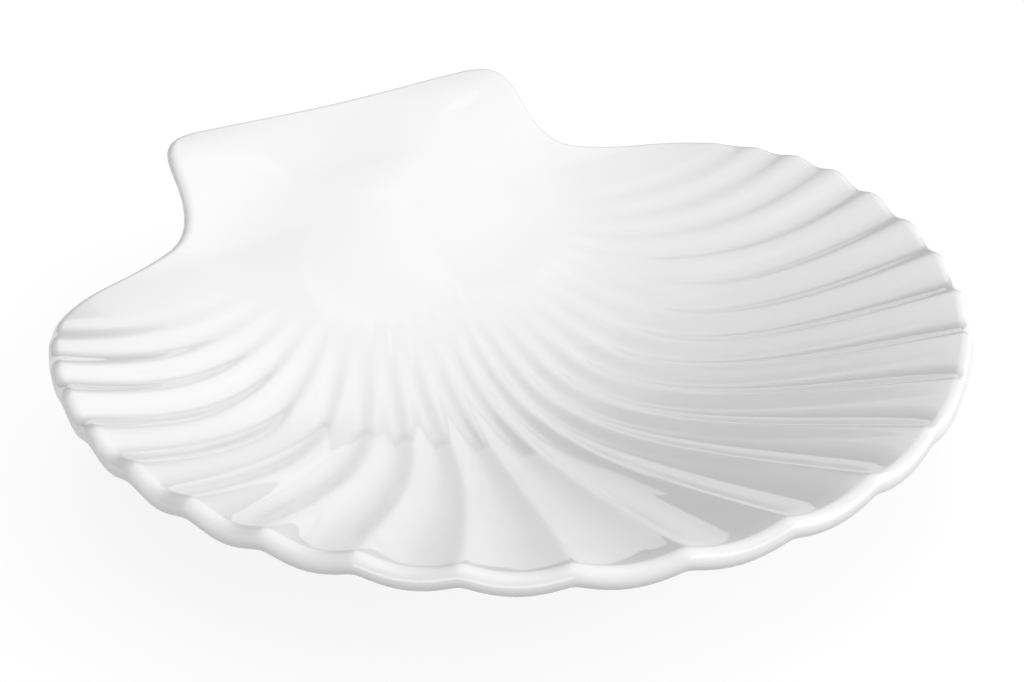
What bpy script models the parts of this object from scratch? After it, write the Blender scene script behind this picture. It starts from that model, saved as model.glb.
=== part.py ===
"""Shell-shaped dish, one cast piece of white glazed porcelain.

Frame: X across the dish, +Y towards the hinge tab, +Z up, with the origin on the
table under the middle of the dish's extents. The dish is the same on both sides of
X = 0, so half of its skin is made and then mirrored. The skin is drawn about the
centre of the round part of the rim, and the finished dish is moved into its frame.
"""

import math

import bmesh
import bpy
from mathutils import Vector

MM = 0.001

# Plan of the rim
DISH_WIDTH = 160.0 * MM
SHOULDER_ANGLE = math.radians(121.0)  # from the tip, where the rim leaves its circle
NECK_WIDTH = 78.0 * MM
NECK_REACH = 52.0 * MM
TAB_WIDTH = 76.0 * MM
TAB_REACH = 72.0 * MM
SHOULDER_ROUNDING = 12.0 * MM
NECK_ROUNDING = 8.0 * MM
TAB_CORNER_ROUNDING = 9.0 * MM

# Section of the bowl
BOWL_DEPTH = 23.5 * MM  # from the ridges' tips at the rim to the floor
FLOOR_Y = -5.5 * MM  # the deepest place
BOWL_BACK_Y = 52.0 * MM  # where the back wall runs out into the tab
BOWL_BACK_AXIS = 61.5 * MM  # the ellipse that closes the bowl's width behind the centre
LONG_ROUNDNESS = 0.37  # near 0 a cone, large a parabola
CROSS_ROUNDNESS = 0.7
TAB_LIFT = 7.5 * MM  # above the rim's level
TAB_LIFT_START_Y = 34.0 * MM
SHOULDER_DIP = 5.5 * MM  # below the rim's level, beside the neck
DIP_START_Y = 4.0 * MM
DIP_Y = 43.0 * MM
DIP_END_Y = 69.0 * MM

# Walls, rolled rim and foot
RIM_WALL = 3.6 * MM
FLOOR_WALL = 3.4 * MM
FOOT_CLEARANCE = 1.1 * MM  # from the table to the underside of the floor
FOOT_HALF_WIDTH = 25.0 * MM
FOOT_HALF_LENGTH = 21.0 * MM
FOOT_FACE = 2.6 * MM
FOOT_FLARE = 2.0 * MM
FOOT_CHAMFER = 0.6 * MM

# Ridges and flutes
RIDGES_PER_SIDE = 12  # besides the one on the middle line
LAST_RIDGE_ANGLE = math.radians(116.0)
RIDGE_CROWDING = 0.31  # how much closer the ridges stand towards the shoulders
FLUTE_DEPTH = 1.35 * MM  # of the flutes beside the tip, at the rim
CREST_ROUNDING = 0.06  # in flute widths
PLAIN_FLOOR_TIP = 0.20  # share of the way to the rim that stays plain, at the tip
PLAIN_FLOOR_SIDE = 0.42
FLUTE_RUN_IN = 0.35  # share of the way over which a flute deepens
UNDERSIDE_RUN_OUT = 0.6  # share of the way to the foot over which the ribs below fade
FAINT_FLUTES = 3  # on each side, next to the shoulder

# Fan in which the ridges run
FAN_Y = 40.0 * MM
FAN_TURN = 0.88
FAN_LEAD = 0.38
RIM_LEAD_TIP = 1.2
RIM_LEAD_SIDE = 0.5
RIM_AIM_Y = 8.0 * MM

# Mesh density
FLUTE_STATIONS = (0.0, 0.08, 0.27, 0.5, 0.73, 0.92)
PLAIN_STATIONS = 18
INNER_ROWS = 13
LIP_ROWS = 5
OUTER_ROWS = 7

RIM_RADIUS = DISH_WIDTH / 2
LIP_RADIUS = RIM_WALL / 2
RIM_HEIGHT = BOWL_DEPTH + FLOOR_WALL + FOOT_CLEARANCE


def smooth_step(value):
    share = min(max(value, 0.0), 1.0)
    return share * share * (3 - 2 * share)


def mix(a, b, share):
    return a + (b - a) * share


# Plan of the rim


def rounded_corner(before, corner, after, steps=8):
    """Points of a curve that leaves one side of a corner and joins the other."""
    lead = 0.7
    first = before.lerp(corner, lead)
    second = after.lerp(corner, lead)
    points = []
    for i in range(steps + 1):
        t = i / steps
        u = 1 - t
        points.append(before * u**3 + first * 3 * u * u * t + second * 3 * u * t * t + after * t**3)
    return points


def cut_back(corner, towards, length):
    return corner + (towards - corner).normalized() * length


def half_rim():
    """Dense points of the rim's outermost line, from the tip to the middle of the tab."""
    shoulder = Vector((RIM_RADIUS * math.sin(SHOULDER_ANGLE), -RIM_RADIUS * math.cos(SHOULDER_ANGLE)))
    neck = Vector((NECK_WIDTH / 2, NECK_REACH))
    tab_corner = Vector((TAB_WIDTH / 2, TAB_REACH))
    tab_middle = Vector((0.0, TAB_REACH))
    arc_end = SHOULDER_ANGLE - SHOULDER_ROUNDING / RIM_RADIUS
    steps = 240
    points = []
    for i in range(steps + 1):
        angle = arc_end * i / steps
        points.append(Vector((RIM_RADIUS * math.sin(angle), -RIM_RADIUS * math.cos(angle))))
    shoulder_end = cut_back(shoulder, neck, SHOULDER_ROUNDING)
    points += rounded_corner(points[-1], shoulder, shoulder_end)[1:]
    neck_start = cut_back(neck, shoulder, NECK_ROUNDING)
    neck_end = cut_back(neck, tab_corner, NECK_ROUNDING)
    points += rounded_corner(neck_start, neck, neck_end)
    tab_start = cut_back(tab_corner, neck, TAB_CORNER_ROUNDING)
    tab_end = cut_back(tab_corner, tab_middle, TAB_CORNER_ROUNDING)
    points += rounded_corner(tab_start, tab_corner, tab_end)
    points.append(tab_middle)
    return points


class Rim:
    """The half rim as a line that can be read at any distance along it."""

    def __init__(self):
        self.points = half_rim()
        self.lengths = [0.0]
        for a, b in zip(self.points, self.points[1:]):
            self.lengths.append(self.lengths[-1] + (b - a).length)

    @property
    def total(self):
        return self.lengths[-1]

    def at(self, distance):
        distance = min(max(distance, 0.0), self.total)
        for i in range(1, len(self.lengths)):
            if self.lengths[i] >= distance:
                break
        span = self.lengths[i] - self.lengths[i - 1]
        return self.points[i - 1].lerp(self.points[i], (distance - self.lengths[i - 1]) / span)

    def normal(self, distance):
        reach = 0.4 * MM
        along = self.at(distance + reach) - self.at(distance - reach)
        if distance <= 0.0:
            return Vector((0.0, -1.0))
        if distance >= self.total:
            return Vector((0.0, 1.0))
        return Vector((along.y, -along.x)).normalized()

    def distance_at_angle(self, angle):
        """Where the line crosses the ray at this angle from the tip, about the rim's centre."""
        for i in range(1, len(self.points)):
            if angle_from_tip(self.points[i]) >= angle:
                break
        before = angle_from_tip(self.points[i - 1])
        after = angle_from_tip(self.points[i])
        return mix(self.lengths[i - 1], self.lengths[i], (angle - before) / (after - before))


def angle_from_tip(point, centre_y=0.0):
    return math.atan2(point.x, centre_y - point.y)


# Heights of the dish before its flutes


def hyperbola(share, roundness):
    """0 at the floor and 1 at the rim, round at the floor and nearly straight at the rim."""
    low = math.hypot(roundness, share) - roundness
    return low / (math.hypot(roundness, 1.0) - roundness)


def depth_on_middle_line(y):
    front_reach = FLOOR_Y + RIM_RADIUS - LIP_RADIUS
    back_reach = BOWL_BACK_Y - FLOOR_Y
    if y < FLOOR_Y:
        return BOWL_DEPTH * (1 - hyperbola((FLOOR_Y - y) / front_reach, LONG_ROUNDNESS))
    share = min((y - FLOOR_Y) / back_reach, 1.0)
    return BOWL_DEPTH * (1 - share * share) ** 2


def half_width(y):
    """Half the bowl's width at this place: a circle in front, an ellipse behind."""
    radius = RIM_RADIUS - LIP_RADIUS
    axis = radius if y < 0 else BOWL_BACK_AXIS
    return radius * math.sqrt(max(1 - (y / axis) ** 2, 0.02))


def level(x, y):
    """Height above the rim's level: the tab rises, and the shoulders dip beside its neck."""
    share = max(y - TAB_LIFT_START_Y, 0.0) / (TAB_REACH - TAB_LIFT_START_Y)
    middle = TAB_LIFT * share * share
    fall = smooth_step((y - DIP_START_Y) / (DIP_Y - DIP_START_Y))
    climb = smooth_step((y - DIP_Y) / (DIP_END_Y - DIP_Y))
    side = mix(-SHOULDER_DIP * fall, TAB_LIFT, climb)
    return mix(middle, side, smooth_step(2 * abs(x) / NECK_WIDTH))


def plain_height(x, y):
    """Height of the inner surface, level with the ridges."""
    across = hyperbola(abs(x) / half_width(y), CROSS_ROUNDNESS)
    return RIM_HEIGHT + level(x, y) - depth_on_middle_line(y) * (1 - across)


def slope(x, y):
    """The two slopes of the inner surface."""
    step = 0.5 * MM
    across = (plain_height(x + step, y) - plain_height(x - step, y)) / (2 * step)
    along = (plain_height(x, y + step) - plain_height(x, y - step)) / (2 * step)
    return Vector((across, along))


# Ridges and flutes


def ridge_angle(index):
    share = index / RIDGES_PER_SIDE
    return LAST_RIDGE_ANGLE * ((1 + RIDGE_CROWDING) * share - RIDGE_CROWDING * share * share)


def flute_profile(share):
    """1 in the middle of a flute and 0 on its ridges, which are rounded."""
    to_ridge = min(share, 1 - share)
    rise = math.hypot(to_ridge, CREST_ROUNDING) - CREST_ROUNDING
    rise /= math.hypot(0.5, CREST_ROUNDING) - CREST_ROUNDING
    return 1 - (1 - rise) ** 2


def flute_depth(flute, share, way):
    """Depth below the ridges, for a share of the way from the fan's centre to the rim."""
    if flute >= RIDGES_PER_SIDE:
        return 0.0
    width = (ridge_angle(flute + 1) - ridge_angle(flute)) / ridge_angle(1)
    faint = 1.0 - max(flute + 1 + FAINT_FLUTES - RIDGES_PER_SIDE, 0) / (FAINT_FLUTES + 1)
    start = mix(PLAIN_FLOOR_TIP, PLAIN_FLOOR_SIDE, (flute + share) / RIDGES_PER_SIDE)
    run_in = smooth_step((way - start) / FLUTE_RUN_IN)
    return FLUTE_DEPTH * width * faint * way * run_in * flute_profile(share)


# Columns of the skin, each from the fan's centre to the rim


class Column:
    """One line of the skin: its place on the rim, its flute and its way inwards."""

    def __init__(self, rim, distance, flute, share):
        self.edge = rim.at(distance)
        self.normal = rim.normal(distance)
        self.angle = angle_from_tip(self.edge)
        self.flute = flute
        self.share = share
        inside = self.edge - self.normal * RIM_WALL * 0.75
        self.tilt = math.atan(slope(*inside).dot(self.normal))
        self.lip_start = self.edge - self.normal * LIP_RADIUS * (1 + math.sin(self.tilt))
        self.lip_end = self.edge - self.normal * LIP_RADIUS * (1 - math.sin(self.tilt))

    def inner_plan(self, way):
        """Plan position of the inner surface: a fan that bends to meet the rim squarely."""
        fan = Vector((0.0, FAN_Y))
        aim = Vector((0.0, RIM_AIM_Y))
        reach = (self.lip_start - fan).length
        turn = FAN_TURN * self.angle
        lead = mix(RIM_LEAD_TIP, RIM_LEAD_SIDE, self.angle / math.radians(90))
        first = fan + Vector((math.sin(turn), -math.cos(turn))) * FAN_LEAD * reach
        second = self.lip_start.lerp(aim, lead)
        straight = smooth_step((self.angle - math.radians(100)) / math.radians(40))
        first = first.lerp(fan.lerp(self.lip_start, 1 / 3), straight)
        second = second.lerp(fan.lerp(self.lip_start, 2 / 3), straight)
        rest = 1 - way
        return (
            fan * rest**3
            + first * 3 * rest * rest * way
            + second * 3 * rest * way * way
            + self.lip_start * way**3
        )

    def inner_point(self, way):
        plan = self.inner_plan(way)
        return with_height(plan, plain_height(*plan) - flute_depth(self.flute, self.share, way))

    def lip_point(self, share):
        """The rolled edge, from the inner surface over the top to the underside."""
        start = self.inner_point(1.0)
        turn = self.tilt + math.radians(90) - math.radians(180) * share
        centre_height = start.z - LIP_RADIUS * math.cos(self.tilt)
        centre = self.edge - self.normal * LIP_RADIUS
        plan = centre + self.normal * LIP_RADIUS * math.cos(turn)
        return with_height(plan, centre_height + LIP_RADIUS * math.sin(turn))

    def foot_plan(self, inset):
        """A place on the foot's oval, this far inside its outer edge."""
        angle = angle_from_tip(self.edge, FLOOR_Y)
        across = (FOOT_HALF_WIDTH - inset) * math.sin(angle)
        along = FLOOR_Y - (FOOT_HALF_LENGTH - inset) * math.cos(angle)
        return Vector((across, along))

    def outer_point(self, share):
        plan = self.lip_end.lerp(self.foot_plan(-FOOT_FLARE), share)
        ribs = flute_depth(self.flute, self.share, 1.0)
        ribs *= 1 - smooth_step(share / UNDERSIDE_RUN_OUT)
        wall = mix(RIM_WALL, FLOOR_WALL, smooth_step(share))
        return with_height(plan, underside_height(plan, wall) - ribs)


def with_height(plan, height):
    return Vector((plan.x, plan.y, height))


def underside_height(plan, wall):
    return plain_height(*plan) - wall * math.sqrt(1 + slope(*plan).length_squared)


def columns():
    rim = Rim()
    starts = [rim.distance_at_angle(ridge_angle(i)) for i in range(RIDGES_PER_SIDE + 1)]
    made = []
    for flute in range(RIDGES_PER_SIDE):
        for share in FLUTE_STATIONS:
            distance = mix(starts[flute], starts[flute + 1], share)
            made.append(Column(rim, distance, flute, share))
    for i in range(PLAIN_STATIONS + 1):
        distance = mix(starts[-1], rim.total, i / PLAIN_STATIONS)
        made.append(Column(rim, distance, RIDGES_PER_SIDE, 0.0))
    return made


# The skin


def skin_rows(made):
    """Rows of points, from the fan's centre over the rim to the middle of the underside."""
    first_way = 0.12
    rows = []
    for i in range(INNER_ROWS):
        way = mix(first_way, 1.0, i / (INNER_ROWS - 1))
        rows.append([column.inner_point(way) for column in made])
    for i in range(1, LIP_ROWS + 1):
        rows.append([column.lip_point(i / LIP_ROWS) for column in made])
    for i in range(1, OUTER_ROWS + 1):
        rows.append([column.outer_point(i / OUTER_ROWS) for column in made])
    foot_steps = (
        (0.0, FOOT_CLEARANCE),
        (FOOT_CHAMFER, 0.0),
        (FOOT_CHAMFER + FOOT_FACE, 0.0),
        (2 * FOOT_CHAMFER + FOOT_FACE, FOOT_CLEARANCE),
    )
    for inset, height in foot_steps:
        rows.append([with_height(column.foot_plan(inset), height) for column in made])
    recess = FOOT_FLARE + 2 * FOOT_CHAMFER + FOOT_FACE
    rows.append([recess_point(column, recess) for column in made])
    return rows


def recess_point(column, inset):
    plan = column.foot_plan(inset)
    return with_height(plan, underside_height(plan, FLOOR_WALL))


def make_skin(mesh_name):
    made = columns()
    rows = skin_rows(made)
    bm = bmesh.new()
    rings = [[bm.verts.new(point) for point in row] for row in rows]
    fan_centre = bm.verts.new((0.0, FAN_Y, plain_height(0.0, FAN_Y)))
    floor_middle = Vector((0.0, FLOOR_Y))
    under_centre = bm.verts.new(with_height(floor_middle, underside_height(floor_middle, FLOOR_WALL)))
    for first, second in zip(rings, rings[1:]):
        for i in range(len(made) - 1):
            bm.faces.new((first[i], second[i], second[i + 1], first[i + 1]))
    for i in range(len(made) - 1):
        bm.faces.new((fan_centre, rings[0][i], rings[0][i + 1]))
        bm.faces.new((under_centre, rings[-1][i + 1], rings[-1][i]))
    mesh = bpy.data.meshes.new(mesh_name)
    bm.to_mesh(mesh)
    bm.free()
    mesh.shade_smooth()
    return mesh


def glazed_porcelain():
    material = bpy.data.materials.new("white_glazed_porcelain")
    material.use_nodes = True
    shader = material.node_tree.nodes["Principled BSDF"]
    shader.inputs["Base Color"].default_value = (0.86, 0.86, 0.86, 1.0)
    shader.inputs["Roughness"].default_value = 0.08
    shader.inputs["Metallic"].default_value = 0.0
    return material


def make_dish():
    mesh = make_skin("dish")
    mesh.materials.append(glazed_porcelain())
    dish = bpy.data.objects.new("dish", mesh)
    dish.location.y = (RIM_RADIUS - TAB_REACH) / 2
    bpy.context.scene.collection.objects.link(dish)
    mirror = dish.modifiers.new("other_half", "MIRROR")
    mirror.use_axis = (True, False, False)
    mirror.use_clip = True
    mirror.use_mirror_merge = True
    mirror.merge_threshold = 0.00001
    return dish


def main():
    for old in list(bpy.data.objects):
        bpy.data.objects.remove(old, do_unlink=True)
    make_dish()


main()
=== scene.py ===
# %% [markdown]
# # A shell-shaped dish in white porcelain
#
# The real object is one casting: a shallow bowl whose wall is pressed into flutes,
# like a scallop shell, with a rolled rim, a raised tab where the two halves of a
# shell would be hinged, and a ring to stand on. It is glazed all over, so almost
# everything the eye reads on it is a reflection. That decides how it is built here.
# The skin has to be smooth enough to carry long, unbroken reflections, and the lamps
# matter as much as the paint.
#
# The plan is this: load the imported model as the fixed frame, draw the rim as one
# curve, let Geometry Nodes spin the whole skin from that curve, then glaze it, and
# light it as a product photographer would.

# %% Load the fixed frame
import math

import bpy
from mathutils import Matrix, Vector


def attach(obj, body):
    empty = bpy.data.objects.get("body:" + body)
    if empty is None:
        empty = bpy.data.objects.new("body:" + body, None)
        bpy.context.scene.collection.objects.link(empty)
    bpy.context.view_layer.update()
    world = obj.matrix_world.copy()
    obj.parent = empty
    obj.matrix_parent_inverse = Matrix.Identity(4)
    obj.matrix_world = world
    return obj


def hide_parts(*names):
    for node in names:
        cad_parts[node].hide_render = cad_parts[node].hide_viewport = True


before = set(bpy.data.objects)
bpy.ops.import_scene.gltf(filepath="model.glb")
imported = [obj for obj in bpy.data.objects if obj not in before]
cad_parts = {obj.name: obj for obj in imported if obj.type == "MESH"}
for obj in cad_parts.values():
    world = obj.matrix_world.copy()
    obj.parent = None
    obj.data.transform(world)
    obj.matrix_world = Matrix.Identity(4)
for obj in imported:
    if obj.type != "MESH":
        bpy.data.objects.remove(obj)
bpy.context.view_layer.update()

# %% [markdown]
# ## Sizes
#
# The dish is drawn with the same driving sizes as its solid model, in metres. X runs
# across the dish, +Y points from the scalloped tip to the tab, and Z is up from the
# table. The formulas are written about the centre of the round part of the rim, and
# the finished skin is moved by half the difference between tip and tab.

# %% The plan of the rim and the section of the bowl
MM = 0.001

DISH_WIDTH = 160 * MM
RIM_RADIUS = DISH_WIDTH / 2
SHOULDER_ANGLE = math.radians(121)
NECK_WIDTH = 78 * MM
NECK_REACH = 52 * MM
TAB_WIDTH = 76 * MM
TAB_REACH = 72 * MM
SHOULDER_ROUNDING = 12 * MM
NECK_ROUNDING = 8 * MM
TAB_CORNER_ROUNDING = 9 * MM
CORNER_LEAD = 0.7

BOWL_DEPTH = 23.5 * MM
FLOOR_Y = -5.5 * MM
BOWL_BACK_Y = 52 * MM
BOWL_BACK_AXIS = 61.5 * MM
LONG_ROUNDNESS = 0.37
CROSS_ROUNDNESS = 0.7
TAB_LIFT = 7.5 * MM
TAB_LIFT_START_Y = 34 * MM
SHOULDER_DIP = 5.5 * MM
DIP_START_Y = 4 * MM
DIP_Y = 43 * MM
DIP_END_Y = 69 * MM

RIM_WALL = 3.6 * MM
FLOOR_WALL = 3.4 * MM
FOOT_CLEARANCE = 1.1 * MM
LIP_RADIUS = RIM_WALL / 2
RIM_HEIGHT = BOWL_DEPTH + FLOOR_WALL + FOOT_CLEARANCE
Y_SHIFT = (RIM_RADIUS - TAB_REACH) / 2

# %% [markdown]
# ## Writing node trees as sums
#
# A formula of thirty Math nodes is unreadable on a canvas and worse in a script. The
# small class below wraps one socket and gives it Python's operators, so that
# `depth * (1 - share)` adds the Math nodes by itself. The same class serves Geometry
# Nodes and materials, because both use the same Math node.

# %% A value in a node tree
class Value:
    """One number that a node tree works out."""

    def __init__(self, tree, socket):
        self.tree = tree
        self.socket = socket

    def __add__(self, other):
        return self.tree.math("ADD", self, other)

    def __sub__(self, other):
        return self.tree.math("SUBTRACT", self, other)

    def __mul__(self, other):
        return self.tree.math("MULTIPLY", self, other)

    def __truediv__(self, other):
        return self.tree.math("DIVIDE", self, other)

    def __rsub__(self, other):
        return self.tree.math("SUBTRACT", other, self)

    def __lt__(self, other):
        return self.tree.math("LESS_THAN", self, other)

    def __gt__(self, other):
        return self.tree.math("GREATER_THAN", self, other)

    __radd__ = __add__
    __rmul__ = __mul__


# %% A node tree
class Tree:
    """A node tree with one way to add any node."""

    def __init__(self, tree):
        self.tree = tree

    def node(self, kind, sockets=None, **settings):
        made = self.tree.nodes.new(kind)
        for name, setting in settings.items():
            setattr(made, name, setting)
        for name, value in (sockets or {}).items():
            self.feed(made.inputs[name], value)
        return made

    def feed(self, socket, value):
        if isinstance(value, Value):
            value = value.socket
        if isinstance(value, bpy.types.NodeSocket):
            self.tree.links.new(value, socket)
        else:
            socket.default_value = value

    def math(self, operation, *values, clamp=False):
        sockets = dict(enumerate(values))
        made = self.node("ShaderNodeMath", sockets, operation=operation, use_clamp=clamp)
        return Value(self, made.outputs[0])

    def vector(self, x, y, z):
        made = self.node("ShaderNodeCombineXYZ", {"X": x, "Y": y, "Z": z})
        return made.outputs["Vector"]

    def parts(self, vector):
        made = self.node("ShaderNodeSeparateXYZ", {"Vector": vector})
        return [Value(self, made.outputs[axis]) for axis in "XYZ"]


# %% Formulas that are used again and again
def clamp(value):
    return value.tree.math("ADD", value, 0.0, clamp=True)


def smooth_step(value):
    share = clamp(value)
    return share * share * (3 - 2 * share)


def mix(a, b, share):
    return a + (b - a) * share


def root(value):
    return value.tree.math("SQRT", value)


def hyperbola(share, roundness):
    """0 in the middle and 1 at the rim, round in the middle and nearly straight at the rim."""
    low = root(share * share + roundness**2) - roundness
    return low / (math.hypot(roundness, 1) - roundness)


# %% [markdown]
# ## The rim, drawn as one curve
#
# Seen from above, half of the rim is an arc, a shoulder that sweeps in to the neck,
# and the square tab with its soft corners. A Bezier curve holds that exactly: an arc
# of under 90 degrees is one segment whose handles are 4/3 tan(angle/4) long, and each
# soft corner is one segment whose handles point at the sharp corner it replaces.

# %% Half of the rim
ARC_PIECES = 4
CURVE_STEPS = 48


def on_rim(angle):
    return Vector((RIM_RADIUS * math.sin(angle), -RIM_RADIUS * math.cos(angle), 0))


def arc_points(end, pieces):
    """Bezier points of an arc from the tip, each with its two handles."""
    step = end / pieces
    reach = 4 / 3 * math.tan(step / 4) * RIM_RADIUS
    points = []
    for i in range(pieces + 1):
        angle = step * i
        along = Vector((math.cos(angle), math.sin(angle), 0)) * reach
        points.append([on_rim(angle) - along, on_rim(angle), on_rim(angle) + along])
    return points


def corner_points(before, corner, after):
    """Two Bezier points that round a corner off."""
    start = [before, before, before.lerp(corner, CORNER_LEAD)]
    end = [after.lerp(corner, CORNER_LEAD), after, after]
    return [start, end]


def towards(start, end, length):
    return start + (end - start).normalized() * length


def rim_points():
    shoulder = on_rim(SHOULDER_ANGLE)
    neck = Vector((NECK_WIDTH / 2, NECK_REACH, 0))
    tab_corner = Vector((TAB_WIDTH / 2, TAB_REACH, 0))
    tab_middle = Vector((0, TAB_REACH, 0))
    points = arc_points(SHOULDER_ANGLE - SHOULDER_ROUNDING / RIM_RADIUS, ARC_PIECES)
    shoulder_end = towards(shoulder, neck, SHOULDER_ROUNDING)
    points[-1][2] = points[-1][1].lerp(shoulder, CORNER_LEAD)
    points.append([shoulder_end.lerp(shoulder, CORNER_LEAD), shoulder_end, shoulder_end])
    neck_start = towards(neck, shoulder, NECK_ROUNDING)
    points += corner_points(neck_start, neck, towards(neck, tab_corner, NECK_ROUNDING))
    tab_start = towards(tab_corner, neck, TAB_CORNER_ROUNDING)
    tab_end = towards(tab_corner, tab_middle, TAB_CORNER_ROUNDING)
    points += corner_points(tab_start, tab_corner, tab_end)
    points.append([tab_middle, tab_middle, tab_middle])
    return points


def rim_curve():
    curve = bpy.data.curves.new("rim_plan", "CURVE")
    curve.dimensions = "3D"
    curve.resolution_u = CURVE_STEPS
    points = rim_points()
    spline = curve.splines.new("BEZIER")
    spline.bezier_points.add(len(points) - 1)
    for bezier, (left, place, right) in zip(spline.bezier_points, points):
        bezier.handle_left_type = bezier.handle_right_type = "FREE"
        bezier.handle_left = left
        bezier.co = place
        bezier.handle_right = right
    rim = bpy.data.objects.new("rim_plan", curve)
    bpy.context.scene.collection.objects.link(rim)
    return rim


rim = rim_curve()
print("half of the rim has", len(rim.data.splines[0].bezier_points), "points")

# %% [markdown]
# ## The section of the bowl, as a node group
#
# Every other formula needs the height of the plain bowl, without its flutes: the skin,
# its slope, the wall under it. So that height is a node group of its own. It takes a
# place in plan and gives the height there. The bowl is nearly straight towards the
# rim and round at the floor, which a hyperbola does with one number.

# %% A node group with named inputs
def new_group(name, inputs, outputs):
    """A Geometry Nodes group, its inputs as values, and its output node."""
    group = bpy.data.node_groups.new(name, "GeometryNodeTree")
    for title, (kind, default) in inputs.items():
        socket = group.interface.new_socket(title, in_out="INPUT", socket_type=kind)
        if default is not None:
            socket.default_value = default
    for title, kind in outputs.items():
        group.interface.new_socket(title, in_out="OUTPUT", socket_type=kind)
    tree = Tree(group)
    taken = tree.node("NodeGroupInput")
    given = tree.node("NodeGroupOutput")
    values = {title: Value(tree, taken.outputs[title]) for title in inputs}
    return tree, values, given


FLOAT = "NodeSocketFloat"

# %% The height of the plain bowl
# towards tip and tab the section narrows, but never below a seventh of its width
LEAST_WIDTH_SQUARED = 0.02
SECTION_INPUTS = {
    "X": (FLOAT, 0.0),
    "Y": (FLOAT, 0.0),
    "Rim Height": (FLOAT, RIM_HEIGHT),
    "Bowl Depth": (FLOAT, BOWL_DEPTH),
    "Tab Lift": (FLOAT, TAB_LIFT),
    "Shoulder Dip": (FLOAT, SHOULDER_DIP),
}


def make_section():
    tree, given, out = new_group("bowl_section", SECTION_INPUTS, {"Height": FLOAT})
    x = tree.math("ABSOLUTE", given["X"])
    y = given["Y"]
    share = clamp((y - TAB_LIFT_START_Y) / (TAB_REACH - TAB_LIFT_START_Y))
    middle = given["Tab Lift"] * share * share
    fall = smooth_step((y - DIP_START_Y) / (DIP_Y - DIP_START_Y))
    climb = smooth_step((y - DIP_Y) / (DIP_END_Y - DIP_Y))
    side = mix(given["Shoulder Dip"] * fall * -1, given["Tab Lift"], climb)
    level = mix(middle, side, smooth_step(x * (2 / NECK_WIDTH)))
    front = hyperbola((FLOOR_Y - y) / (FLOOR_Y + RIM_RADIUS - LIP_RADIUS), LONG_ROUNDNESS)
    back = clamp((y - FLOOR_Y) / (BOWL_BACK_Y - FLOOR_Y))
    back = 1 - back * back
    is_front = y < FLOOR_Y
    depth = given["Bowl Depth"] * mix(back * back, 1 - front, is_front)
    radius = RIM_RADIUS - LIP_RADIUS
    axis = mix(BOWL_BACK_AXIS, radius, y < 0)
    reach = y / axis
    half_width = radius * root(tree.math("MAXIMUM", 1 - reach * reach, LEAST_WIDTH_SQUARED))
    across = hyperbola(x / half_width, CROSS_ROUNDNESS)
    tree.feed(out.inputs["Height"], given["Rim Height"] + level - depth * (1 - across))
    return tree.tree


bowl_section = make_section()
print("the section of the bowl takes", len(bowl_section.nodes), "nodes")

# %% [markdown]
# ## The skin
#
# The skin is one grid of points, wrapped round. Its columns run along the rim, from
# the middle of the tab over the tip and back, and stand closer at the ridges. Its rows
# run from the hinge over the floor and up to the rim, over the rolled lip, down the
# outside, round the foot ring, and end in the middle of the underside. For each point,
# the tree works out which column and row it is in, and from those where it belongs.
#
# A ridge isn't straight in plan. It leaves the hinge in one direction and turns to
# meet the rim squarely, so each column is a cubic curve with two guide points. Near the
# hinge and at the sides the ridges are round waves, and in front they narrow to crests.

# %% Ridges, flutes and the foot
RIDGES_PER_SIDE = 12
LAST_RIDGE_ANGLE = math.radians(116)
RIDGE_CROWDING = 0.31
FLUTE_DEPTH = 1.35 * MM
CREST_ROUNDING = 0.06
UNDERSIDE_RUN_OUT = 0.6
FAINT_FLUTES = 3

# shares of the way from hinge to rim: where a flute starts, and where a wave becomes a crest
PLAIN_FLOOR_TIP = 0.10
PLAIN_FLOOR_SIDE = 0.42
FLUTE_RUN_IN = 0.30
ROUND_UNTIL = 0.45
SHARP_FROM = 0.95
# ridges are counted from the tip
LAST_SHARP_RIDGE = 3
FIRST_ROUND_RIDGE = 8

# the two guide points of a ridge; beside the tab it runs straight
FAN_Y = 40 * MM
FAN_TURN = 0.88
FAN_LEAD = 0.38
RIM_LEAD_TIP = 1.2
RIM_LEAD_SIDE = 0.5
RIM_AIM_Y = 8 * MM
SIDE_ANGLE = math.radians(90)
STRAIGHT_FROM = math.radians(100)
STRAIGHT_OVER = math.radians(40)

FOOT_HALF_WIDTH = 25 * MM
FOOT_HALF_LENGTH = 21 * MM
FOOT_FACE = 2.6 * MM
FOOT_FLARE = 2.0 * MM
FOOT_CHAMFER = 0.6 * MM
FOOT_WIDTH = FOOT_FACE + 2 * FOOT_CHAMFER

# %% How fine the grid is
COLUMNS_PER_FLUTE = 14
PLAIN_COLUMNS = 44
COLUMN_CROWDING = 0.55
INNER_ROWS = 92
LIP_ROWS = 16
OUTER_ROWS = 44
FOOT_ROWS = 22
RECESS_ROWS = 10

HALF_COLUMNS = RIDGES_PER_SIDE * COLUMNS_PER_FLUTE + PLAIN_COLUMNS
LIP_AT = INNER_ROWS
OUTER_AT = LIP_AT + LIP_ROWS
FOOT_AT = OUTER_AT + OUTER_ROWS
RECESS_AT = FOOT_AT + FOOT_ROWS
LAST_ROW = RECESS_AT + RECESS_ROWS
print("the grid has", 2 * HALF_COLUMNS + 1, "columns and", LAST_ROW + 1, "rows")

# %% The height and slope of the bowl, wherever the tree needs them
SECTION_SIZES = ("Rim Height", "Bowl Depth", "Tab Lift", "Shoulder Dip")
SLOPE_STEP = 0.5 * MM


def height_at(tree, sizes, x, y):
    sockets = {"X": x, "Y": y}
    sockets.update((name, sizes[name]) for name in SECTION_SIZES)
    made = tree.node("GeometryNodeGroup", node_tree=bowl_section, sockets=sockets)
    return Value(tree, made.outputs["Height"])


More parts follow.
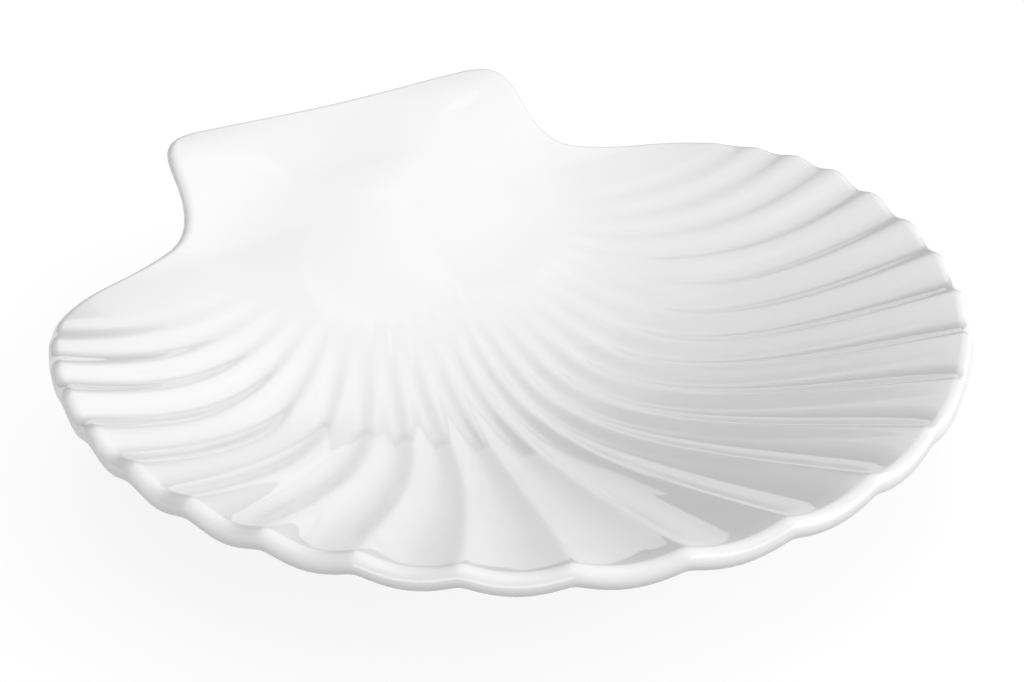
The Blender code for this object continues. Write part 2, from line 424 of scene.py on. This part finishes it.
def slope_at(tree, sizes, x, y):
    right = height_at(tree, sizes, x + SLOPE_STEP, y)
    left = height_at(tree, sizes, x - SLOPE_STEP, y)
    ahead = height_at(tree, sizes, x, y + SLOPE_STEP)
    behind = height_at(tree, sizes, x, y - SLOPE_STEP)
    span = 2 * SLOPE_STEP
    return (right - left) / span, (ahead - behind) / span


# %% Where the ridges stand, and how deep a flute is
def ridge_angle(index):
    share = index / RIDGES_PER_SIDE
    return LAST_RIDGE_ANGLE * ((1 + RIDGE_CROWDING) * share - RIDGE_CROWDING * share * share)


def flute_profile(tree, share):
    """1 in the middle of a flute and 0 on its ridges, which are rounded."""
    to_ridge = tree.math("MINIMUM", share, 1 - share)
    rise = root(to_ridge * to_ridge + CREST_ROUNDING**2) - CREST_ROUNDING
    rise = 1 - rise / (math.hypot(0.5, CREST_ROUNDING) - CREST_ROUNDING)
    return 1 - rise * rise


def flute_depth(tree, column, depth, way):
    """Ridges are round waves near the hinge and at the sides, and narrow to crests in front."""
    start = mix(PLAIN_FLOOR_TIP, PLAIN_FLOOR_SIDE, column["ridges"] / RIDGES_PER_SIDE)
    run_in = smooth_step((way - start) / FLUTE_RUN_IN)
    crested = smooth_step((way - ROUND_UNTIL) / (SHARP_FROM - ROUND_UNTIL))
    sideways = (column["ridges"] - LAST_SHARP_RIDGE) / (FIRST_ROUND_RIDGE - LAST_SHARP_RIDGE)
    crested = crested * (1 - smooth_step(sideways))
    profile = mix(column["wave"], column["crest"], crested)
    return depth * column["fluting"] * profile * way * run_in


# %% What a column knows: its place on the rim and its flute
def make_column(tree, taken, number):
    signed = number - HALF_COLUMNS
    column = {"side": tree.math("SIGN", signed)}
    steps = tree.math("ABSOLUTE", signed)
    flute = tree.math("FLOOR", steps / COLUMNS_PER_FLUTE)
    flute = tree.math("MINIMUM", flute, RIDGES_PER_SIDE)
    even = steps / COLUMNS_PER_FLUTE - flute
    swing = tree.math("SINE", even * math.tau)
    share = even - swing * (COLUMN_CROWDING / math.tau)
    fluted = flute < RIDGES_PER_SIDE
    plain = clamp((steps - RIDGES_PER_SIDE * COLUMNS_PER_FLUTE) / PLAIN_COLUMNS)

    rim_info = tree.node(
        "GeometryNodeObjectInfo", {"Object": taken["Rim"]}, transform_space="ORIGINAL"
    )
    line = rim_info.outputs["Geometry"]
    total = Value(tree, tree.node("GeometryNodeCurveLength", {"Curve": line}).outputs["Length"])
    start = ridge_angle(flute)
    end = ridge_angle(flute + 1)
    along_flutes = mix(start, end, share) * RIM_RADIUS
    along_tab = mix(RIM_RADIUS * LAST_RIDGE_ANGLE, total, plain)
    distance = mix(along_tab, along_flutes, fluted)
    spot = tree.node(
        "GeometryNodeSampleCurve", {"Curves": line, "Length": distance}, mode="LENGTH"
    )
    column["x"], column["y"] = tree.parts(spot.outputs["Position"])[:2]
    along_x, along_y = tree.parts(spot.outputs["Tangent"])[:2]
    column["out_x"] = along_y
    column["out_y"] = along_x * -1
    column["angle"] = tree.math("ARCTAN2", column["x"], column["y"] * -1)

    column["ridges"] = flute + share
    fading = tree.math("MAXIMUM", flute + (1 + FAINT_FLUTES - RIDGES_PER_SIDE), 0)
    faint = 1 - fading / (FAINT_FLUTES + 1)
    column["crest"] = flute_profile(tree, share)
    column["wave"] = 0.5 - tree.math("COSINE", share * math.tau) * 0.5
    column["fluting"] = faint * fluted
    return column


# %% How a column meets the lip
# how far inside the rim the wall's slope is read, in wall thicknesses
SLOPE_READ_AT = 0.75


def add_lip(tree, taken, column):
    wall = taken["Rim Wall"]
    inside_x = column["x"] - column["out_x"] * wall * SLOPE_READ_AT
    inside_y = column["y"] - column["out_y"] * wall * SLOPE_READ_AT
    across, along = slope_at(tree, taken, inside_x, inside_y)
    steepness = across * column["out_x"] + along * column["out_y"]
    column["tilt"] = tree.math("ARCTANGENT", steepness)
    lean = tree.math("SINE", column["tilt"])
    for name, reach in (("start", wall / 2 * (1 + lean)), ("end", wall / 2 * (1 - lean))):
        column[name + "_x"] = column["x"] - column["out_x"] * reach
        column[name + "_y"] = column["y"] - column["out_y"] * reach


# %% The way from the hinge to the rim, as a cubic curve in plan
def fan_point(tree, column, way):
    to_rim_x = column["start_x"]
    to_rim_y = column["start_y"] - FAN_Y
    reach = root(to_rim_x * to_rim_x + to_rim_y * to_rim_y) * FAN_LEAD
    turn = column["angle"] * FAN_TURN
    lead = mix(RIM_LEAD_TIP, RIM_LEAD_SIDE, column["angle"] / SIDE_ANGLE)
    straight = smooth_step((column["angle"] - STRAIGHT_FROM) / STRAIGHT_OVER)
    first = (
        mix(tree.math("SINE", turn) * reach, to_rim_x / 3, straight),
        mix(tree.math("COSINE", turn) * reach * -1, to_rim_y / 3, straight),
    )
    second = (
        mix(to_rim_x * (1 - lead), to_rim_x * (2 / 3), straight),
        mix(mix(to_rim_y, RIM_AIM_Y - FAN_Y, lead), to_rim_y * (2 / 3), straight),
    )
    rest = 1 - way
    near = rest * rest * way * 3
    far = rest * way * way * 3
    last = way * way * way
    x = first[0] * near + second[0] * far + to_rim_x * last
    y = first[1] * near + second[1] * far + to_rim_y * last + FAN_Y
    return x, y


# %% The underside's rows, and the oval of the foot ring
def foot_point(tree, column, inset):
    from_floor = FLOOR_Y - column["y"]
    turn = tree.math("ARCTAN2", column["x"], from_floor)
    x = (FOOT_HALF_WIDTH - inset) * tree.math("SINE", turn)
    y = FLOOR_Y - (FOOT_HALF_LENGTH - inset) * tree.math("COSINE", turn)
    return x, y


def under_point(tree, column, row):
    """The plan of a point below the lip: down the outside, under the ring, to the middle."""
    out = clamp((row - OUTER_AT) / OUTER_ROWS)
    ring = clamp((row - FOOT_AT) / FOOT_ROWS)
    middle = clamp((row - RECESS_AT) / RECESS_ROWS)
    inset = mix(-FOOT_FLARE, FOOT_WIDTH + FOOT_FLARE, ring)
    foot_x, foot_y = foot_point(tree, column, inset)
    x = mix(column["end_x"], foot_x, out)
    y = mix(column["end_y"], foot_y, out)
    x = x * (1 - middle)
    y = mix(y, FLOOR_Y, middle)
    rise = smooth_step((inset + FOOT_FLARE) / (FOOT_FLARE + FOOT_CHAMFER))
    fall = smooth_step((inset - FOOT_CHAMFER - FOOT_FACE) / (FOOT_FLARE + FOOT_CHAMFER))
    return x, y, out, rise * (1 - fall)


# %% Inside and underside, one wall apart
def wall_point(tree, taken, column, row, depth, is_under):
    """A point above or below the wall, and how far down the foot ring takes it."""
    inner_x, inner_y = fan_point(tree, column, clamp(row / INNER_ROWS))
    under_x, under_y, out_share, ring = under_point(tree, column, row)
    x = mix(inner_x, under_x, is_under)
    y = mix(inner_y, under_y, is_under)
    height = height_at(tree, taken, x, y)
    across, along = slope_at(tree, taken, x, y)
    thickness = mix(taken["Rim Wall"], taken["Floor Wall"], smooth_step(out_share))
    thickness = thickness * root(across * across + along * along + 1)
    rib = depth * (1 - smooth_step(out_share / UNDERSIDE_RUN_OUT))
    under_z = (height - thickness - rib) * (1 - ring)
    return (x, y, mix(height - depth, under_z, is_under)), ring


# %% The rolled lip, a half circle from the inside to the outside
def lip_point(tree, taken, column, row, depth):
    lip = clamp((row - LIP_AT) / LIP_ROWS)
    turn = column["tilt"] + math.pi / 2 - lip * math.pi
    radius = taken["Rim Wall"] / 2
    start_z = height_at(tree, taken, column["start_x"], column["start_y"]) - depth
    centre_z = start_z - radius * tree.math("COSINE", column["tilt"])
    reach = radius * (1 - tree.math("COSINE", turn))
    x = column["x"] - column["out_x"] * reach
    y = column["y"] - column["out_y"] * reach
    return x, y, centre_z + radius * tree.math("SINE", turn)


# %% From the moved grid to a finished mesh
WELD_DISTANCE = 0.0005 * MM


def finished_mesh(tree, grid, place, finish):
    shaped = tree.node("GeometryNodeSetPosition", {"Geometry": grid, "Position": place})
    turned = tree.node("GeometryNodeFlipFaces", {"Mesh": shaped.outputs["Geometry"]})
    seams = {"Geometry": turned.outputs["Mesh"], "Distance": WELD_DISTANCE}
    merged = tree.node("GeometryNodeMergeByDistance", seams)
    smooth = tree.node("GeometryNodeSetShadeSmooth", {"Geometry": merged.outputs["Geometry"]})
    real = tree.node("GeometryNodeRealizeInstances", {"Geometry": smooth.outputs["Geometry"]})
    skin = {"Geometry": real.outputs["Geometry"], "Material": finish}
    return tree.node("GeometryNodeSetMaterial", skin).outputs["Geometry"]


# %% The whole skin
UNEVENNESS = 0.04 * MM
UNEVENNESS_SIZE = 22 * MM
HALF_A_ROW = 0.5
SKIN_INPUTS = {
    "Rim": ("NodeSocketObject", None),
    "Finish": ("NodeSocketMaterial", None),
    "Rim Height": (FLOAT, RIM_HEIGHT),
    "Bowl Depth": (FLOAT, BOWL_DEPTH),
    "Tab Lift": (FLOAT, TAB_LIFT),
    "Shoulder Dip": (FLOAT, SHOULDER_DIP),
    "Rim Wall": (FLOAT, RIM_WALL),
    "Floor Wall": (FLOAT, FLOOR_WALL),
    "Flute Depth": (FLOAT, FLUTE_DEPTH),
    "Unevenness": (FLOAT, UNEVENNESS),
}


def make_skin():
    tree, taken, out = new_group("fluted_skin", SKIN_INPUTS, {"Dish": "NodeSocketGeometry"})
    size = {"Vertices X": 2 * HALF_COLUMNS + 1, "Vertices Y": LAST_ROW + 1}
    grid = tree.node("GeometryNodeMeshGrid", size)
    index = Value(tree, tree.node("GeometryNodeInputIndex").outputs["Index"])
    number = tree.math("FLOOR", index / (LAST_ROW + 1))
    row = index - number * (LAST_ROW + 1)
    column = make_column(tree, taken, number)
    add_lip(tree, taken, column)

    is_under = row > OUTER_AT + HALF_A_ROW
    is_lip = (row > LIP_AT + HALF_A_ROW) * (1 - is_under)
    depth = flute_depth(tree, column, taken["Flute Depth"], clamp(row / INNER_ROWS))
    on_wall, ring = wall_point(tree, taken, column, row, depth, is_under)
    on_lip = lip_point(tree, taken, column, row, depth)
    x, y, z = (mix(wall, lip, is_lip) for wall, lip in zip(on_wall, on_lip))
    x = x * column["side"]

    waves = {"Vector": tree.vector(x, y, 0.0), "Scale": 1 / UNEVENNESS_SIZE, "Detail": 0.0}
    noise = tree.node("ShaderNodeTexNoise", waves)
    swell = Value(tree, noise.outputs["Fac"]) - 0.5
    z = z + swell * taken["Unevenness"] * 2 * (1 - ring)

    place = tree.vector(x, y + Y_SHIFT, z)
    skin = finished_mesh(tree, grid.outputs["Mesh"], place, taken["Finish"])
    tree.feed(out.inputs["Dish"], skin)
    return tree.tree


fluted_skin = make_skin()
print("the skin takes", len(fluted_skin.nodes), "nodes")

# %% [markdown]
# ## Glaze
#
# A clear glaze over white porcelain is a white body under a thin, smooth, glassy skin:
# one Principled shader with a low roughness. What keeps it from looking like plastic is
# small: its white and its gloss vary a touch from place to place, and nothing that it
# reflects is quite straight, because the skin swells by a few hundredths of a
# millimetre. The foot ring is wiped clean before firing, so that face is bare and matt.

# %% A material with its tree
def new_material(name):
    material = bpy.data.materials.new(name)
    material.use_nodes = True
    tree = Tree(material.node_tree)
    shader = material.node_tree.nodes["Principled BSDF"]
    return material, tree, shader


def blend_colours(tree, share, first, second):
    made = tree.node("ShaderNodeMix", data_type="RGBA")
    tree.feed(made.inputs["Factor"], share)
    tree.feed(made.inputs["A"], first)
    tree.feed(made.inputs["B"], second)
    return made.outputs["Result"]


# %% White glaze over porcelain
GLAZE_WHITE = (0.86, 0.86, 0.86, 1.0)
GLAZE_SHADE = (0.84, 0.84, 0.838, 1.0)
BISCUIT = (0.70, 0.67, 0.62, 1.0)
GLAZE_ROUGHNESS = 0.015
BISCUIT_ROUGHNESS = 0.6
BARE_BELOW = 0.15 * MM
MOTTLE_SCALE = 60.0
MOTTLE_DETAIL = 3.0
MOTTLE_ROUGHNESS = 0.01


def make_glaze():
    material, tree, shader = new_material("white_glaze")
    place = tree.node("ShaderNodeTexCoord").outputs["Object"]
    bare = tree.parts(place)[2] < BARE_BELOW
    waves = {"Vector": place, "Scale": MOTTLE_SCALE, "Detail": MOTTLE_DETAIL}
    mottle = Value(tree, tree.node("ShaderNodeTexNoise", waves).outputs["Fac"])
    body = blend_colours(tree, mottle, GLAZE_WHITE, GLAZE_SHADE)
    tree.feed(shader.inputs["Base Color"], blend_colours(tree, bare, body, BISCUIT))
    gloss = GLAZE_ROUGHNESS + mottle * MOTTLE_ROUGHNESS
    tree.feed(shader.inputs["Roughness"], mix(gloss, BISCUIT_ROUGHNESS, bare))
    return material


glaze = make_glaze()

# %% Spin the dish from its rim, and keep the result as a plain mesh
def input_key(group, title):
    for item in group.interface.items_tree:
        if item.item_type == "SOCKET" and item.in_out == "INPUT" and item.name == title:
            return item.identifier


def make_dish():
    host = bpy.data.objects.new("dish_host", bpy.data.meshes.new("dish_host"))
    bpy.context.scene.collection.objects.link(host)
    modifier = host.modifiers.new("skin", "NODES")
    modifier.node_group = fluted_skin
    modifier[input_key(fluted_skin, "Rim")] = rim
    modifier[input_key(fluted_skin, "Finish")] = glaze
    host.data.materials.append(glaze)
    bpy.context.view_layer.update()
    seen = host.evaluated_get(bpy.context.evaluated_depsgraph_get())
    mesh = bpy.data.meshes.new_from_object(seen)
    mesh.name = "shell_dish"
    dish = bpy.data.objects.new("shell_dish", mesh)
    bpy.context.scene.collection.objects.link(dish)
    bpy.data.objects.remove(host)
    bpy.data.objects.remove(rim)
    return dish


dish = make_dish()
print("the dish has", len(dish.data.polygons), "faces")

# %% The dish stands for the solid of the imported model
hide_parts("dish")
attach(dish, "root")
print(dish.name, "rides on root and is painted as glaze")

# %% [markdown]
# ## Camera
#
# The camera stands where the photographer's stood: in front and to the left, looking
# down at the dish by a third of a right angle, through a lens a little longer than a
# normal one.

# %% The camera
CAMERA_PLACE = Vector((-0.13271, -0.21852, 0.17775))
CAMERA_YAW = math.radians(30.885)
CAMERA_PITCH = math.radians(32.060)
CAMERA_ROLL = math.radians(0.268)
SENSOR_WIDTH = 36.0
FOCAL_PIXELS = 1693.1
PICTURE_WIDTH = 1024
CLIP_START = 0.01


def make_camera():
    data = bpy.data.cameras.new("camera")
    data.sensor_fit = "HORIZONTAL"
    data.sensor_width = SENSOR_WIDTH
    data.lens = FOCAL_PIXELS / PICTURE_WIDTH * SENSOR_WIDTH
    data.clip_start = CLIP_START
    camera = bpy.data.objects.new("camera", data)
    bpy.context.scene.collection.objects.link(camera)
    look = Vector((
        math.sin(CAMERA_YAW) * math.cos(CAMERA_PITCH),
        math.cos(CAMERA_YAW) * math.cos(CAMERA_PITCH),
        -math.sin(CAMERA_PITCH),
    ))
    right = Vector((math.cos(CAMERA_YAW), -math.sin(CAMERA_YAW), 0))
    up = right.cross(look)
    tilted_right = right * math.cos(CAMERA_ROLL) + up * math.sin(CAMERA_ROLL)
    tilted_up = up * math.cos(CAMERA_ROLL) - right * math.sin(CAMERA_ROLL)
    axes = Matrix((tilted_right, tilted_up, -look)).transposed()
    camera.matrix_world = Matrix.Translation(CAMERA_PLACE) @ axes.to_4x4()
    bpy.context.scene.camera = camera
    return data.lens


lens = make_camera()
print("the lens is", round(lens, 1), "mm long")

# %% [markdown]
# ## Light
#
# White china on a white ground is lit with large soft sources, and its shape is drawn
# by what they leave dark. The brightest two panels stand on the right, so the wall on
# that side, which turns its back to them, stays grey while its rim catches the full
# light. A third fills in from the front left. Weaker ones hang left, behind and above.
# Glaze is a mirror as well. Dark cloth hangs behind the dish and on its left, and that
# is what the grey flutes show, with the dish's own white ridges and tab in front of it.
# Panels and cloth are placed as the dish sees them, by bearing, height and breadth.

# %% Where things stand round the dish
STUDIO_RADIUS = 1.6


def toward(bearing, height):
    """A direction from the dish; bearing 0 is behind it and 90 is to its right."""
    turn = math.radians(bearing)
    rise = math.radians(height)
    level = math.cos(rise)
    return Vector((math.sin(turn) * level, math.cos(turn) * level, math.sin(rise)))


def aimed(bearing, height):
    """The place and turn of something that faces the dish."""
    way = toward(bearing, height)
    facing = (-way).to_track_quat("-Z", "Y").to_matrix().to_4x4()
    return Matrix.Translation(way * STUDIO_RADIUS) @ facing


def seen_size(angle):
    """How wide something has to be for the dish to see it that wide."""
    return 2 * STUDIO_RADIUS * math.tan(math.radians(angle / 2))


# %% Panels of light
def panel(name, bearing, height, breadth, tallness, power):
    light = bpy.data.lights.new(name, "AREA")
    light.shape = "RECTANGLE"
    light.size = seen_size(breadth)
    light.size_y = seen_size(tallness)
    light.energy = power
    lamp = bpy.data.objects.new(name, light)
    bpy.context.scene.collection.objects.link(lamp)
    lamp.matrix_world = aimed(bearing, height)
    lamp.visible_camera = False


# bearing, height, breadth and tallness in degrees, then power in watts
PANELS = {
    "key_panel": (108, 16, 66, 20, 9.4),
    "key_upper_panel": (135, 35, 60, 17, 7.4),
    "fill_panel": (222, 10, 40, 24, 7.3),
    "left_panel": (255, 38, 50, 30, 0.7),
    "back_panel": (30, 50, 38, 50, 1.8),
    "back_left_panel": (340, 60, 60, 36, 0.8),
    "top_panel": (180, 84, 50, 40, 3.4),
}
for name, sizes in PANELS.items():
    panel(name, *sizes)
print(len(PANELS), "panels of light")

# %% Dark curtains
CURTAIN_GREY = 0.12
CURTAIN_RADIUS = 2.4
CURTAIN_STEP = 4
# first and last bearing, foot, start and end of the fade, all in degrees
CURTAINS = {
    "left_curtain": (296, 372, -2, 34, 50),
    "back_curtain": (8, 68, -2, 10, 34),
}


def make_matt(shader, grey):
    shader.inputs["Base Color"].default_value = (grey, grey, grey, 1)
    shader.inputs["Roughness"].default_value = 1.0
    shader.inputs["Specular IOR Level"].default_value = 0.0


def cloth(name, fade_from, fade_to):
    """Dark cloth that thins out to nothing between two heights, so that its top edge is soft."""
    material, tree, shader = new_material(name)
    make_matt(shader, CURTAIN_GREY)
    height = tree.parts(tree.node("ShaderNodeTexCoord").outputs["Object"])[2]
    start = CURTAIN_RADIUS * math.sin(math.radians(fade_from))
    finish = CURTAIN_RADIUS * math.sin(math.radians(fade_to))
    gone = smooth_step(clamp((height - start) / (finish - start)))
    clear = tree.node("ShaderNodeBsdfTransparent")
    shares = {0: gone, 1: shader.outputs[0], 2: clear.outputs[0]}
    either = tree.node("ShaderNodeMixShader", shares)
    tree.feed(material.node_tree.nodes["Material Output"].inputs["Surface"], either.outputs[0])
    return material


def curtain(name, first, last, low, fade_from, fade_to):
    across = range(first, last + 1, CURTAIN_STEP)
    up = range(low, fade_to + 1, CURTAIN_STEP)
    points = [toward(bearing, height) * CURTAIN_RADIUS for bearing in across for height in up]
    rows = len(up)
    faces = []
    for place in range((len(across) - 1) * rows):
        if place % rows < rows - 1:
            faces.append((place, place + rows, place + rows + 1, place + 1))
    mesh = bpy.data.meshes.new(name)
    mesh.from_pydata(points, [], faces)
    mesh.materials.append(cloth(name, fade_from, fade_to))
    sheet = bpy.data.objects.new(name, mesh)
    bpy.context.scene.collection.objects.link(sheet)
    sheet.visible_camera = False


for name, sizes in CURTAINS.items():
    curtain(name, *sizes)
print(len(CURTAINS), "dark curtains")

# %% [markdown]
# ## The white ground
#
# The photograph's ground is nearly pure white. Paper and walls lit as brightly as that
# would wash the greys out of the dish. So they look white to the camera and in the
# glaze, but send the dish a dimmer light: the light path tells which kind of ray asks.

# %% The room, and the paper that the dish stands on
ROOM_GREY = 0.53
PAPER_GREY = 0.18
PAPER_GLOW = 0.86
PAPER_HALF_SIZE = 2.0


def seen_directly(tree):
    """1 for what the camera, a reflection or clear glass shows, and 0 for light on its way."""
    ray = tree.node("ShaderNodeLightPath")
    camera = Value(tree, ray.outputs["Is Camera Ray"])
    glossy = Value(tree, ray.outputs["Is Glossy Ray"])
    through = Value(tree, ray.outputs["Is Transmission Ray"])
    return tree.math("MAXIMUM", camera, tree.math("MAXIMUM", glossy, through))


def make_world():
    world = bpy.data.worlds.new("studio")
    world.use_nodes = True
    bpy.context.scene.world = world
    world.node_tree.nodes.clear()
    tree = Tree(world.node_tree)
    room = tree.node("ShaderNodeBackground", {"Strength": ROOM_GREY})
    white = tree.node("ShaderNodeBackground", {"Strength": 1.0})
    for background in (room, white):
        background.inputs["Color"].default_value = (1, 1, 1, 1)
    shares = {0: seen_directly(tree), 1: room.outputs[0], 2: white.outputs[0]}
    either = tree.node("ShaderNodeMixShader", shares)
    tree.node("ShaderNodeOutputWorld", {"Surface": either.outputs[0]})


def make_floor():
    mesh = bpy.data.meshes.new("floor")
    half = PAPER_HALF_SIZE
    corners = [(-half, -half, 0), (half, -half, 0), (half, half, 0), (-half, half, 0)]
    mesh.from_pydata(corners, [], [(0, 1, 2, 3)])
    floor = bpy.data.objects.new("floor", mesh)
    bpy.context.scene.collection.objects.link(floor)
    material, tree, shader = new_material("paper")
    make_matt(shader, PAPER_GREY)
    shader.inputs["Emission Strength"].default_value = 1.0
    glow = seen_directly(tree) * PAPER_GLOW
    tree.feed(shader.inputs["Emission Color"], tree.vector(glow, glow, glow))
    mesh.materials.append(material)


make_world()
make_floor()
bpy.context.scene.view_settings.view_transform = "Standard"
print("the paper is", 2 * PAPER_HALF_SIZE, "m wide")
